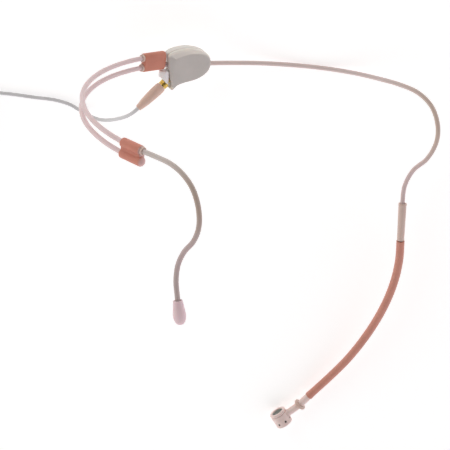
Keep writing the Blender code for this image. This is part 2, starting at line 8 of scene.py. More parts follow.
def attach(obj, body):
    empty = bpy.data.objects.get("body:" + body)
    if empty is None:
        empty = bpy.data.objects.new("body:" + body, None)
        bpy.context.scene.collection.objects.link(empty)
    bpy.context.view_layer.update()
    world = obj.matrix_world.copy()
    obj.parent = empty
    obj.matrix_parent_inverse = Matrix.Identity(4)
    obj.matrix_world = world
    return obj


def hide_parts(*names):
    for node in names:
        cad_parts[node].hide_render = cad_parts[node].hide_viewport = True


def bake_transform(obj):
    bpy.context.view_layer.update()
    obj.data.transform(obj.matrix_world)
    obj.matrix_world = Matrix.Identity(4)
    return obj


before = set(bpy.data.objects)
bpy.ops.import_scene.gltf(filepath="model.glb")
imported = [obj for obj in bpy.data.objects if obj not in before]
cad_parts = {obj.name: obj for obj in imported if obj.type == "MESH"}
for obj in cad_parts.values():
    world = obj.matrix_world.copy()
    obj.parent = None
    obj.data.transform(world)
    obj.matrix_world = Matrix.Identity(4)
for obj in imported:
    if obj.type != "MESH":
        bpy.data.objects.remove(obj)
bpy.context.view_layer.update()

# Millimetres in the CAD's design frame: X forward along the microphone-side arm, Y the wearer's up, Z up from
# the table. ORIGIN is the row frame's zero in it.
MM = 0.001
ORIGIN = Vector((9.2, -79.4, 0.0))

# neckband
WIRE_R, WIRE_BORE = 0.9, 0.6
BAND_R, BAND_Z, WIRE_Y = 58.3, 66.0, 1.9
MIC_START, MIC_END = 31.0, 140.0  # degrees round the arc from straight down, towards the back
OTHER_START, OTHER_END = 34.5, 141.5
SLEEVE_R, SLEEVE_BORE = 1.75, 1.2
SLEEVE_WAIST = 0.5  # how far out the valley between the lobes lies, as a share of SLEEVE_R
SLEEVE_UPPER_AT, SLEEVE_UPPER_LEN = 138.3, 8.8
SLEEVE_LOWER_AT, SLEEVE_LOWER_LEN = 37.05, 9.7
BUSH_R, BUSH_LEN, GAP = 1.45, 0.8, 0.3
SNUG = 0.06  # clearance round a wire or a bush

# housing and plug
HOUSING_AT, HOUSING_PITCH = (-22.0, -1.9, 12.9), -24.0
HOUSING_HALF, SEAM_AT, SEAM_GAP = 2.8, 1.0, 0.3
HOUSING_OUTLINE = [
    (-8.9, 4.2), (-7.6, 5.5), (-5.3, 6.3), (-1.2, 6.85), (2.6, 6.4), (5.6, 5.4), (7.7, 3.8),
    (8.7, 1.4), (8.6, -0.8), (7.9, -2.5), (6.0, -4.3), (3.0, -5.8), (-1.2, -6.8), (-4.0, -7.7),
    (-5.3, -8.9), (-6.3, -9.6), (-6.8, -9.2), (-6.5, -8.0), (-7.4, -4.8), (-8.1, -1.5), (-8.6, 1.5),
]  # fmt: skip
RIM_FALL, RIM_LEAST, RIM_MOST, RIM_LEAN, RIM_REACH = 1.3, 0.5, 2.9, (-0.6, 0.8), 8.8
RIM_SPAN = 5  # points each way that the inward direction is taken over, so a ring never crosses itself
LID_RIM = [  # from the rim's foot to the flat top, as shares of its width and of its height
    (0.0, 0.0), (0.0, 0.22), (0.03, 0.38), (0.10, 0.52), (0.28, 0.66),
    (0.5, 0.78), (0.72, 0.88), (0.86, 0.95), (0.95, 0.985), (1.0, 1.0),
]  # fmt: skip
HOUSING_MIDDLE = (-0.5, -1.0)
PLUG_FROM, PLUG_TO = (-8.25, -7.1), (-18.6, -17.2)
KNUCKLE_AT, KNUCKLE_R, SOCKET_R = (-9.3, -3.9), 2.1, 1.1
RING_R, RING_BORE, RING_LEN, BOOT_R, BOOT_TIP_R = 1.8, 1.45, 2.0, 2.08, 1.2

# hooks and boom
MIC_ARM = [
    (-21.5, -1.9, 12.6), (-12.3, -1.9, 8.9), (-2.6, -1.9, 5.6), (8.0, -1.9, 2.8), (20.0, -1.9, 1.2),
    (31.5, -1.9, 1.1), (43.0, -1.9, 3.0), (53.0, -1.9, 6.8),
]  # fmt: skip
MIC_HOOK = [
    (60.5, -2.2, 10.1), (67.3, -3.6, 13.1), (72.9, -7.7, 15.7), (76.1, -14.3, 17.2), (76.7, -21.5, 17.4),
    (74.4, -29.0, 16.4), (70.3, -34.9, 14.6), (68.2, -41.5, 13.7), (68.1, -47.0, 13.6), (68.9, -54.5, 14.0),
]  # fmt: skip
OTHER_SLOPE = 38.5
OTHER_HOOK = [
    (7.0, 1.9), (13.5, 1.6), (18.9, -0.2), (23.5, -3.7), (26.6, -9.2), (27.7, -15.4), (26.3, -21.2),
    (23.0, -26.4), (21.1, -31.8), (20.9, -37.3), (21.8, -41.7), (23.1, -46.3),
]  # fmt: skip
TIP_END, TIP_R = (25.15, -53.7), 2.25
COUPLER_FROM, COUPLER_TO = (68.4, -49.9, 13.8), (70.0, -65.6, 14.4)
COUPLER_R, COUPLER_END_R = 1.6, 1.45
BOOM = [
    (70.05, -65.97, 14.4), (70.9, -74.5, 13.9), (70.7, -84.0, 12.9),
    (69.2, -94.3, 11.7), (66.4, -105.0, 10.2), (62.5, -115.7, 8.6),
    (57.7, -126.0, 7.0), (52.1, -135.4, 5.6), (44.5, -146.6, 4.4),
]  # fmt: skip
BOOM_R, GOOSENECK_R = 1.65, 0.7
LIP_FLARE = 0.1  # how much wider the boom's sleeve is at the microphone's end

# microphone head
COLLAR_AT, COLLAR_R, NECK_R, STEM_R = (41.3, -151.5, 4.05), 2.65, 1.55, 1.5
CAPSULE_AT, CAPSULE_FACE = (34.2, -158.8, 4.05), (-4.8, 6.1, -0.85)
CAPSULE_R, CAPSULE_HALF = 3.65, 3.35
VENTS, VENT_R, VENT_LOW, VENT_TURN = 7, 0.4, 1.4, 26.0

# cable
CORD_R, CORD_Z, CORD_LENGTH = 0.75, 0.8, 1.5
CORD_ROUTE = [
    (-38.55, -18.6, 20.3), (-40.4, -20.7, 20.6), (-42.5, -23.1, 18.9), (-44.6, -25.2, 16.4),
    (-46.9, -27.3, 13.1), (-49.2, -29.3, 9.6), (-51.6, -30.9, 6.5), (-54.7, -31.7, 4.0),
    (-58.2, -31.3, 2.2), (-62.0, -29.9, 1.1), (-66.0, -28.1, CORD_Z), (-72.0, -26.9, CORD_Z),
    (-80.0, -26.7, CORD_Z), (-88.0, -26.4, CORD_Z), (-95.0, -26.4, CORD_Z), (-102.0, -26.5, CORD_Z),
    (-107.8, -26.4, 1.2),
]  # fmt: skip
LEAD_ROUTE = [(-126.6, -52.2, 5.9), (-125.3, -56.5, 4.9), (-124.7, -61.0, 4.1), (-124.6, -66.2, 3.9)]
COIL_AT, COIL_OUTER, COIL_PITCH, COIL_COLUMNS, COIL_LAYERS, COIL_Z = (-115.0, -41.1), 14.6, 1.6, 5, 4, 1.5
TIE_AT, TIE_WIDE, TIE_THICK, TIE_CLEAR = -45.0, 3.0, 0.4, 0.25
COIL_R_IN, COIL_R_OUT, COIL_LOW, COIL_HIGH = 7.3, 15.5, 0.7, 7.1
JACK_FROM, JACK_R = (-124.6, -66.5, 3.9), 3.8

# camera, in the design frame
CAMERA_AT = (-32.74, 216.17, 627.08)
CAMERA_LOOK = Vector((0.0481, -0.4189, -0.9068))
CAMERA_UP = Vector((-0.1019, 0.901, -0.4216))
CAMERA_LENS = 136.24

# light, with places and sizes in metres of the row frame
TENT_BRIGHT, TENT_DIM = 1.2, 0.1
TENT_COOL, TENT_WARM, TENT_WARM_SIDE = (0.99, 0.955, 1.0), (1.0, 0.985, 0.93), (-1, 1, 0.2)
KEY_AT, KEY_SIZE, KEY_POWER = (-0.45, 0.55, 0.45), 0.4, 0.7
FLOOR_SIZE, FLOOR_DROP, FLOOR_TINT, FLOOR_GLOW = 3, 0.0002, 0.93, 0.4

# looks
BAND_TINT = (0.73, 0.555, 0.56)  # the wires' coating where it goes round the neck
MIC_TINT_SPAN, OTHER_TINT_SPAN = 261.0, 172.0  # millimetres along a wire that its tints' shares are of
MIC_TINTS = [
    (0.0, BAND_TINT), (0.42, BAND_TINT), (0.5, (0.71, 0.56, 0.53)), (0.74, (0.76, 0.62, 0.60)),
    (0.87, (0.60, 0.465, 0.39)), (0.97, (0.66, 0.51, 0.50)),
]  # fmt: skip
OTHER_TINTS = [
    (0.0, BAND_TINT), (0.56, BAND_TINT), (0.68, (0.60, 0.53, 0.50)), (0.80, (0.46, 0.36, 0.30)),
    (0.93, (0.49, 0.385, 0.38)), (1.0, (0.50, 0.40, 0.39)),
]  # fmt: skip
DRIFT_SCALE = 170.0  # scale of the noise that a look drifts between its two colours with
RUN_DRIFT = 0.2  # the most of that drift in a look whose colour also changes along the piece
NOISE_SPAN = (0.3, 0.7)  # where most of a noise's values lie

# meshes
ARC_STEP = 1.5  # degrees
WIRE_STEP, BOOM_STEP, CORD_STEP = 1.2, 1.1, 1.1  # millimetres between a route's points
CHANNEL_POINTS = 36  # as many of the wire's points as reach through the housing
SHARP_FROM = 40.0  # degrees between two faces, from which their edge stays sharp
WELD = 5e-7  # metres


def vec(point):
    """A point of the design frame, in millimetres, as a row-frame vector in metres."""
    return (Vector(point) - ORIGIN) * MM


def along(origin, direction, side=(0, 0, 1)):
    """Placement with its +Z along direction and its +X as near as it can be to side."""
    z = Vector(direction).normalized()
    y = z.cross(Vector(side))
    y = y.normalized() if y.length > 1e-6 else Vector((0, 1, 0))
    x = y.cross(z)
    turn = Matrix((x, y, z)).transposed().to_4x4()
    return Matrix.Translation(vec(origin)) @ turn


def smooth(points, step, loop=False):
    """Evenly spaced points on a Catmull-Rom curve through the given points."""
    p = [Vector(q) for q in points]
    p = [p[-1]] + p + p[:2] if loop else [2 * p[0] - p[1]] + p + [2 * p[-1] - p[-2]]
    fine = []
    for a, b, c, d in zip(p, p[1:], p[2:], p[3:]):
        for k in range(24):
            t = k / 24
            bend = (2 * a - 5 * b + 4 * c - d) * t * t + (3 * b - a - 3 * c + d) * t**3
            fine.append(b + ((c - a) * t + bend) / 2)
    fine.append(p[-2])
    return resample(fine, step)


def resample(points, step):
    """The same route with its points step apart, both ends kept."""
    lengths = [(b - a).length for a, b in zip(points, points[1:])]
    count = max(2, round(sum(lengths) / step))
    spacing = sum(lengths) / count
    out, walked, target = [points[0]], 0.0, spacing
    for a, b, size in zip(points, points[1:], lengths):
        while size > 0 and walked + size >= target - 1e-9 and len(out) < count:
            out.append(a.lerp(b, (target - walked) / size))
            target += spacing
        walked += size
    return out + [points[-1]]


def arc_point(angle, y):
    """A point on the neckband's arc, angle degrees round from straight down towards the back."""
    turn = math.radians(angle)
    return Vector((-BAND_R * math.sin(turn), y, BAND_Z - BAND_R * math.cos(turn)))


def arc_points(start, end, y):
    """Points on the neckband's arc from one angle to another."""
    count = round(abs(end - start) / ARC_STEP)
    return [arc_point(start + (end - start) * k / count, y) for k in range(count + 1)]


def arc_placement(angle):
    """Frame on the arc: +Z forward along the wires, +X along the band's axis, +Y towards its centre."""
    turn = math.radians(angle)
    return along(arc_point(angle, 0), (math.cos(turn), 0, -math.sin(turn)), (0, 1, 0))


def other_arm_point(forward, y):
    """A point in the plane of the other ear's hook, forward from the end of the arc."""
    slope = math.radians(OTHER_SLOPE)
    return arc_point(OTHER_END, y) + Vector((math.cos(slope), 0, math.sin(slope))) * forward


def housing_placement():
    """Frame of the housing: +X and +Y in its plane, +Z out of its cover."""
    pitch = Matrix.Rotation(math.radians(-HOUSING_PITCH), 4, "Y")
    return Matrix.Translation(vec(HOUSING_AT)) @ pitch


def in_housing(point):
    """A point of the housing's own plane, in the design frame."""
    return (housing_placement() @ (Vector((*point, 0.0)) * MM)) / MM + ORIGIN


def plug_placement():
    """Frame of the plug: +Z from the housing towards the cable."""
    start = in_housing(PLUG_FROM)
    return along(start, in_housing(PLUG_TO) - start)


def knuckle_placement():
    """Frame of the knuckle, with +Z down the housing's rear edge."""
    middle = in_housing(KNUCKLE_AT)
    return along(middle, in_housing((KNUCKLE_AT[0], KNUCKLE_AT[1] - 1)) - middle)


def neck_direction():
    """Which way the microphone's neck runs on from the boom."""
    return (Vector(COLLAR_AT) - Vector(BOOM[-1])).normalized()


# shader nodes


def link_spread(tree, value, start, end, low=0.0, high=1.0):
    """The value mapped from start..end to low..high."""
    spread = tree.nodes.new("ShaderNodeMapRange")
    spread.inputs["From Min"].default_value = start
    spread.inputs["From Max"].default_value = end
    spread.inputs["To Min"].default_value = low
    spread.inputs["To Max"].default_value = high
    tree.links.new(value, spread.inputs["Value"])
    return spread.outputs["Result"]


def link_noise(tree, scale, detail, low, high):
    """A noise over the object's own space, mapped to low..high."""
    coords = tree.nodes.new("ShaderNodeTexCoord")
    noise = tree.nodes.new("ShaderNodeTexNoise")
    noise.inputs["Scale"].default_value = scale
    noise.inputs["Detail"].default_value = detail
    tree.links.new(coords.outputs["Object"], noise.inputs["Vector"])
    return link_spread(tree, noise.outputs["Fac"], *NOISE_SPAN, low, high)


def link_attribute(tree, name):
    """What a swept piece's points carry: how far along it, in millimetres, or around it, in turns."""
    node = tree.nodes.new("ShaderNodeAttribute")
    node.attribute_name = name
    return node.outputs["Fac"]


def link_wave(tree, per_mm, turns):
    """A wave along a swept piece, which also winds that many turns round it."""
    phase = tree.nodes.new("ShaderNodeMath")
    phase.operation = "MULTIPLY"
    phase.inputs[1].default_value = per_mm * math.tau
    tree.links.new(link_attribute(tree, "along"), phase.inputs[0])
    out = phase.outputs[0]
    if turns:
        add = tree.nodes.new("ShaderNodeMath")
        add.operation = "MULTIPLY_ADD"
        add.inputs[1].default_value = turns * math.tau
        tree.links.new(link_attribute(tree, "around"), add.inputs[0])
        tree.links.new(out, add.inputs[2])
        out = add.outputs[0]
    wave = tree.nodes.new("ShaderNodeMath")
    wave.operation = "SINE"
    tree.links.new(out, wave.inputs[0])
    return wave.outputs[0]


def link_mix(tree, factor, first, second):
    """The first colour where the factor is 0, and the second where it is 1."""
    mix = tree.nodes.new("ShaderNodeMix")
    mix.data_type = "RGBA"
    mix.inputs["A"].default_value = (*first, 1)
    mix.inputs["B"].default_value = (*second, 1)
    tree.links.new(factor, mix.inputs["Factor"])
    return mix.outputs["Result"]


def link_run(tree, length, stops):
    """A colour that changes along a swept piece, through stops of (share of length, colour)."""
    ramp = tree.nodes.new("ShaderNodeValToRGB")
    ramp.color_ramp.interpolation = "EASE"
    ramp.color_ramp.elements.remove(ramp.color_ramp.elements[1])
    ramp.color_ramp.elements[0].position = stops[0][0]
    ramp.color_ramp.elements[0].color = (*stops[0][1], 1)
    for position, colour in stops[1:]:
        ramp.color_ramp.elements.new(position).color = (*colour, 1)
    tree.links.new(link_spread(tree, link_attribute(tree, "along"), 0.0, length), ramp.inputs["Fac"])
    return ramp.outputs["Color"]


def link_facing(tree, vector, direction, start, end, low=0.0, high=1.0):
    """How far a vector, such as a normal, points in a direction, mapped from start..end to low..high."""
    dot = tree.nodes.new("ShaderNodeVectorMath")
    dot.operation = "DOT_PRODUCT"
    dot.inputs[1].default_value = Vector(direction).normalized()
    tree.links.new(vector, dot.inputs[0])
    return link_spread(tree, dot.outputs["Value"], start, end, low, high)


# camera and light


def make_camera():
    """The camera that was matched to the photo."""
    data = bpy.data.cameras.new("camera")
    data.lens = CAMERA_LENS
    data.sensor_width = 36
    data.clip_start, data.clip_end = 0.01, 50
    camera = bpy.data.objects.new("camera", data)
    bpy.context.scene.collection.objects.link(camera)
    ahead, up = CAMERA_LOOK.normalized(), CAMERA_UP.normalized()
    right = ahead.cross(up).normalized()
    turn = Matrix((right, right.cross(ahead), -ahead)).transposed().to_4x4()
    camera.matrix_world = Matrix.Translation(vec(CAMERA_AT)) @ turn
    bpy.context.scene.camera = camera


def make_light():
    """A white tent, dimmer round where a camera would stand, and one soft lamp at the view's upper left."""
    scene = bpy.context.scene
    scene.view_settings.view_transform = "Standard"
    world = bpy.data.worlds.new("tent")
    scene.world = world
    world.use_nodes = True
    tree = world.node_tree
    back = tree.nodes["Background"]
    ray = tree.nodes.new("ShaderNodeTexCoord").outputs["Generated"]
    bright = link_facing(tree, ray, -CAMERA_LOOK, 0.25, 0.995, TENT_BRIGHT, TENT_DIM)
    tree.links.new(bright, back.inputs["Strength"])
    warm = link_facing(tree, ray, TENT_WARM_SIDE, -0.8, 0.8)
    tree.links.new(link_mix(tree, warm, TENT_COOL, TENT_WARM), back.inputs["Color"])
    data = bpy.data.lights.new("key", "AREA")
    data.size = KEY_SIZE
    data.energy = KEY_POWER
    lamp = bpy.data.objects.new("key", data)
    scene.collection.objects.link(lamp)
    lamp.location = KEY_AT
    lamp.rotation_euler = (-lamp.location).to_track_quat("-Z", "Y").to_euler()


def make_floor():
    """A pale, faintly glowing floor just under the object."""
    mesh = bpy.data.meshes.new("floor")
    work = bmesh.new()
    bmesh.ops.create_grid(work, x_segments=1, y_segments=1, size=FLOOR_SIZE)
    work.to_mesh(mesh)
    work.free()
    floor = bpy.data.objects.new("floor", mesh)
    bpy.context.scene.collection.objects.link(floor)
    floor.location.z = -FLOOR_DROP
    made = bpy.data.materials.new("pale_floor")
    made.use_nodes = True
    shader = made.node_tree.nodes["Principled BSDF"]
    for socket, value in (
        ("Base Color", (FLOOR_TINT, FLOOR_TINT, FLOOR_TINT, 1)), ("Roughness", 0.9),
        ("Specular IOR Level", 0.1), ("Emission Color", (1, 1, 1, 1)), ("Emission Strength", FLOOR_GLOW),
    ):  # fmt: skip
        shader.inputs[socket].default_value = value
    mesh.materials.append(made)


# materials


def look(
    name, colour, shade, rough, grain=1800.0, height=0.02, wave=None, sockets=None, run=None, painted_highlight=None
):
    """A material that drifts between colour and shade, with fine grain in its gloss and relief.

    height is the relief in millimetres. wave is (per_mm, turns, height) for a swept piece's rings or twist.
    run is (length, stops) for a swept piece whose colour changes along it, and shade then only darkens it in
    patches. The last argument is (direction, start, end, colour) for a painted highlight: that paler colour
    is mixed in where the piece faces the direction, in its own space, as if light fell on it from that side.
    """
    made = bpy.data.materials.new(name)
    made.use_nodes = True
    tree = made.node_tree
    shader = tree.nodes["Principled BSDF"]
    drift = link_noise(tree, DRIFT_SCALE, 4.0, 0.0, RUN_DRIFT if run else 1.0)
    mixed = link_mix(tree, drift, colour, shade)
    if run:
        tree.links.new(link_run(tree, *run), mixed.node.inputs["A"])
    # painted highlight: a paler colour where the surface's own normal faces the given direction, standing in
    # for light
    if painted_highlight:
        direction, start, end, pale = painted_highlight
        normal = tree.nodes.new("ShaderNodeTexCoord").outputs["Normal"]
        highlight_mix = link_mix(tree, link_facing(tree, normal, direction, start, end), colour, pale)
        tree.links.new(mixed, highlight_mix.node.inputs["A"])
        mixed = highlight_mix
    tree.links.new(mixed, shader.inputs["Base Color"])
    spread = link_noise(tree, grain * 0.6, 3.0, rough * 0.85, min(1.0, rough * 1.15))
    tree.links.new(spread, shader.inputs["Roughness"])
    bump = tree.nodes.new("ShaderNodeBump")
    bump.inputs["Distance"].default_value = height * MM
    bump.inputs["Strength"].default_value = 0.6
    tree.links.new(link_noise(tree, grain, 2.0, 0.0, 1.0), bump.inputs["Height"])
    last = bump
    if wave:
        rings = tree.nodes.new("ShaderNodeBump")
        rings.inputs["Distance"].default_value = wave[2] * MM
        rings.inputs["Strength"].default_value = 0.8
        tree.links.new(link_wave(tree, wave[0], wave[1]), rings.inputs["Height"])
        tree.links.new(bump.outputs["Normal"], rings.inputs["Normal"])
        last = rings
    tree.links.new(last.outputs["Normal"], shader.inputs["Normal"])
    for socket, value in (sockets or {}).items():
        shader.inputs[socket].default_value = value
    return made


def make_looks():
    """Every finished material, by the name that settle and dress use."""
    soft = {"Subsurface Weight": 0.08, "Subsurface Radius": (1.0, 0.4, 0.25), "Subsurface Scale": 0.0012}
    metal = {"Metallic": 1.0}
    # painted highlight on the housing's cover: its rim is paler towards this side, where the light falls
    highlight_side = housing_placement().to_3x3() @ Vector((-0.15, 0.99, 0.0))
    # painted highlight on the domed sleeve's end: paler where it faces out along the sleeve towards that end
    sleeve_end = arc_placement(SLEEVE_UPPER_AT).to_3x3() @ Vector((0, 0, -1))
    return {
        # the sleeve with a domed end, with a painted highlight on that end
        "salmon_end": look(
            "salmon_plastic_end", (0.56, 0.20, 0.14), (0.63, 0.23, 0.16), 0.42, sockets=soft,
            painted_highlight=(sleeve_end, 0.15, 0.75, (0.66, 0.42, 0.40)),
        ),
        "salmon": look("salmon_plastic", (0.55, 0.195, 0.13), (0.62, 0.225, 0.15), 0.42, sockets=soft),
        "boom": look(
            "boom_sleeve_plastic", (0.56, 0.235, 0.175), (0.63, 0.27, 0.20), 0.40,
            wave=(0.62, 0, 0.015), sockets=soft,
        ),
        "sheath": look(
            "coated_wire", BAND_TINT, (0.58, 0.46, 0.44), 0.38, wave=(1.7, 1, 0.01), sockets=soft,
            run=(MIC_TINT_SPAN, MIC_TINTS),
        ),
        "other_sheath": look(
            "coated_wire_other", BAND_TINT, (0.48, 0.38, 0.36), 0.38, wave=(1.7, 1, 0.01), sockets=soft,
            run=(OTHER_TINT_SPAN, OTHER_TINTS),
        ),
        "shell": look(
            "housing_shell", (0.70, 0.66, 0.61), (0.75, 0.71, 0.66), 0.45, height=0.03, sockets=soft,
        ),
        # the cover's rim gets a painted highlight on the side that faces the light
        "face": look(
            "housing_face", (0.54, 0.50, 0.47), (0.58, 0.54, 0.51), 0.5, height=0.03, sockets=soft,
            painted_highlight=(highlight_side, 0.04, 0.34, (0.88, 0.82, 0.75)),
        ),
        "head": look("capsule_plastic", (0.82, 0.64, 0.60), (0.87, 0.69, 0.65), 0.38, sockets=soft),
        "blush": look("blush_plastic", (0.62, 0.46, 0.40), (0.67, 0.51, 0.45), 0.38, sockets=soft),
        "boot": look("boot_plastic", (0.68, 0.47, 0.38), (0.74, 0.52, 0.43), 0.4, sockets=soft),
        "lilac": look("lilac_plastic", (0.86, 0.82, 0.82), (0.90, 0.86, 0.86), 0.36, sockets=soft),
        "soft_tip": look("soft_tip", (0.76, 0.565, 0.60), (0.81, 0.615, 0.65), 0.46, sockets=soft),
        "gold": look("gold_plate", (0.60, 0.40, 0.09), (0.70, 0.48, 0.13), 0.12, height=0.004, sockets=metal),
        "cord": look("cable_jacket", (0.63, 0.62, 0.63), (0.68, 0.67, 0.68), 0.45, wave=(0.5, 2, 0.01)),
        "black": look("black_plastic", (0.025, 0.025, 0.027), (0.04, 0.04, 0.042), 0.5, height=0.04),
        "steel": look(
            "spring_steel", (0.55, 0.55, 0.56), (0.62, 0.62, 0.63), 0.28, height=0.006, sockets=metal,
        ),
        "nickel": look(
            "satin_nickel", (0.60, 0.59, 0.56), (0.66, 0.65, 0.62), 0.3, height=0.008, sockets=metal,
        ),
        "mesh": look(
            "grille_wire", (0.30, 0.32, 0.30), (0.38, 0.40, 0.38), 0.35, height=0.004, sockets=metal,
        ),
        "felt": look("felt", (0.03, 0.03, 0.03), (0.06, 0.06, 0.06), 0.95, grain=6000.0, height=0.1),
        "board": look("board", (0.02, 0.12, 0.05), (0.03, 0.15, 0.06), 0.4),
        "dark": look("vent_dark", (0.012, 0.01, 0.01), (0.02, 0.018, 0.018), 0.8),
    }


# mesh making


def finish_mesh(name, verts, faces, sharp=SHARP_FROM, attributes=None):
    """A closed mesh from points in the row frame, smooth shaded up to an angle."""
    mesh = bpy.data.meshes.new(name)
    mesh.from_pydata([tuple(v) for v in verts], [], faces)
    for key, values in (attributes or {}).items():
        mesh.attributes.new(key, "FLOAT", "POINT").data.foreach_set("value", values)
    work = bmesh.new()
    work.from_mesh(mesh)
    bmesh.ops.remove_doubles(work, verts=work.verts, dist=WELD)
    bmesh.ops.dissolve_degenerate(work, edges=work.edges, dist=WELD)
    bmesh.ops.recalc_face_normals(work, faces=work.faces)
    work.to_mesh(mesh)
    work.free()
    mesh.shade_smooth()
    mesh.set_sharp_from_angle(angle=math.radians(sharp))
    obj = bpy.data.objects.new(name, mesh)
    bpy.context.scene.collection.objects.link(obj)
    return obj


def settle(obj, material, body, nodes=()):
    """Gives the piece its material and body, and hides the CAD nodes that it stands for."""
    obj.data.materials.clear()
    obj.data.materials.append(LOOKS[material])
    if body:
        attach(obj, body)
    if nodes:
        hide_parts(*nodes)
    return obj


def bridge(low, high, count):
    """The faces between two rings of count points, whose first points are low and high."""
    return [(low + s, low + (s - 1) % count, high + (s - 1) % count, high + s) for s in range(count)]


def sweep(name, points, radius, sides, bore=0.0):
    """A round tube along design-frame points. radius is a number or a function of the share of its length."""
    size = radius if callable(radius) else lambda share: radius
    rings = len(points)
    tangents = [(points[min(k + 1, rings - 1)] - points[max(k - 1, 0)]).normalized() for k in range(rings)]
    side = tangents[0].orthogonal().normalized()
    verts, run, around, walked = [], [], [], 0.0
    walls = [1] + ([-1] if bore else [])
    shells = {wall: [] for wall in walls}
    for k, (point, tangent) in enumerate(zip(points, tangents)):
        if k:
            walked += (point - points[k - 1]).length
            side = (side - tangent * side.dot(tangent)).normalized()
        up = tangent.cross(side)
        for wall in walls:
            reach = size(k / (rings - 1)) if wall > 0 else bore
            ring = []
            for s in range(sides):
                turn = math.tau * s / sides
                ring.append(len(verts))
                verts.append(vec(point + (side * math.cos(turn) + up * math.sin(turn)) * reach))
                run.append(walked)
                around.append(s / sides)
            shells[wall].append(ring)
    faces = []
    for wall in walls:
        for low, high in zip(shells[wall], shells[wall][1:]):
            faces += [(low[s], low[s - 1], high[s - 1], high[s]) for s in range(sides)]
    for end in (0, -1):
        outer = shells[1][end]
        if bore:
            inner = shells[-1][end]
            faces += [(outer[s], outer[s - 1], inner[s - 1], inner[s]) for s in range(sides)]
        else:
            faces.append(tuple(outer))
    return finish_mesh(name, verts, faces, 50.0, {"along": run, "around": around})


def eased(profile, radius, loop=False, steps=4):
    """The profile with each of its corners rounded."""
    out, count = [], len(profile)
    for k, corner in enumerate(profile):
        if not loop and k in (0, count - 1):
            out.append(tuple(corner))
            continue
        before, here, after = Vector(profile[k - 1]), Vector(corner), Vector(profile[(k + 1) % count])
        start = here + (before - here).normalized() * min(radius, (before - here).length * 0.45)
        end = here + (after - here).normalized() * min(radius, (after - here).length * 0.45)
        for i in range(steps + 1):
            t = i / steps
            out.append(tuple(start.lerp(here, t).lerp(here.lerp(end, t), t)))
    return out


def lathe(name, profile, placement, sides, ease, loop=False, ripple=None):
    """A turned piece from (radius, height) pairs in millimetres. ripple is (count, depth, low, high)."""
    line = eased(profile, ease, loop) if ease else list(profile)
    verts, faces = [], []
    for r, h in line:
        for s in range(sides):
            turn = math.tau * s / sides
            reach = r
            if ripple and ripple[2] < h < ripple[3] and r > 0.5:
                reach -= ripple[1] * (0.5 - 0.5 * math.cos(turn * ripple[0]))
            verts.append(placement @ (Vector((reach * math.cos(turn), reach * math.sin(turn), h)) * MM))
    rows = len(line)
    for k in range(rows if loop else rows - 1):
        faces += bridge(k * sides, (k + 1) % rows * sides, sides)
    return finish_mesh(name, verts, faces)


def ring_section(inner, outer, low, high):
    """The profile of a plain ring, for a lathe that loops."""
    return [(outer, high), (outer, low), (inner, low), (inner, high)]


def loft(name, rings, placement):
    """A closed skin through rings of (x, y, z) millimetre points, capped at both ends."""
    verts = [placement @ (Vector(p) * MM) for ring in rings for p in ring]
    count = len(rings[0])
    faces = []
    for k in range(len(rings) - 1):
        faces += bridge(k * count, (k + 1) * count, count)
    faces.append(tuple(range(count)))
    faces.append(tuple(range((len(rings) - 1) * count, len(rings) * count)))
    return finish_mesh(name, verts, faces, 32.0)


def quarter(count):
    """Angles of a quarter turn, in radians."""
    return [math.pi / 2 * k / count for k in range(count + 1)]


def arc(radius, centre, count, start, turn_by):
    """Points round an arc, from the angle start, in degrees."""
    turns = [math.radians(start + turn_by * k / (count - 1)) for k in range(count)]
    return [(centre[0] + radius * math.cos(t), centre[1] + radius * math.sin(t)) for t in turns]


def combine(obj, others, operation):
    """Combines the piece with other closed meshes and removes them."""
    if not others:
        return obj
    for other in others:
        modifier = obj.modifiers.new("combine", "BOOLEAN")
        modifier.operation = operation
        modifier.object = other
    bpy.context.view_layer.update()
    mesh = bpy.data.meshes.new_from_object(obj.evaluated_get(bpy.context.evaluated_depsgraph_get()))
    if len(mesh.polygons) < len(obj.data.polygons) / 2:
        raise RuntimeError(f"{obj.name} was lost in a cut")
    obj.modifiers.clear()
    obj.data = mesh
    for other in others:
        bpy.data.objects.remove(other)
    mesh.shade_smooth()
    mesh.set_sharp_from_angle(angle=math.radians(SHARP_FROM))
    return obj


def cut(obj, cutters):
    """Cuts closed meshes out of the piece."""
    return combine(obj, cutters, "DIFFERENCE")


def drill(radius, low, high, placement, sides=24):
    """A plain rod to cut a round hole with."""
    return lathe("drill", [(0, high), (radius, high), (radius, low), (0, low)], placement, sides, ease=0)


# neckband


def make_wires():
    """The two coated wires, each round the neck and out to its hook."""
    mic_side = arc_points(MIC_END, MIC_START, -WIRE_Y)
    mic_side += smooth([mic_side[-1]] + MIC_ARM + MIC_HOOK, WIRE_STEP)[1:]
    other = arc_points(OTHER_START, OTHER_END, WIRE_Y)
    hook = [other_arm_point(forward, y) for forward, y in OTHER_HOOK]
    other += smooth([other[-1]] + hook, WIRE_STEP)[1:]
    for name, route, body, node, material in (
        ("microphone_side_wire", mic_side, "headset", "right_wire_sheath", "sheath"),
        ("other_side_wire", other, "far_ear", "left_wire_sheath", "other_sheath"),
    ):
        settle(sweep(name, route, WIRE_R, 20, WIRE_BORE), material, body, [node])


def sleeve_rim(scale):
    """A double sleeve's section: two lobes, with a valley on its outer side and flat on its inner side."""
    r = SLEEVE_R * scale
    right = arc(r, (WIRE_Y, 0), 22, -118, 206)
    left = arc(r, (-WIRE_Y, 0), 22, 92, 206)
    valley = [(-0.55, -r * SLEEVE_WAIST), (0.0, -r * (SLEEVE_WAIST - 0.05)), (0.55, -r * SLEEVE_WAIST)]
    return right + left + valley


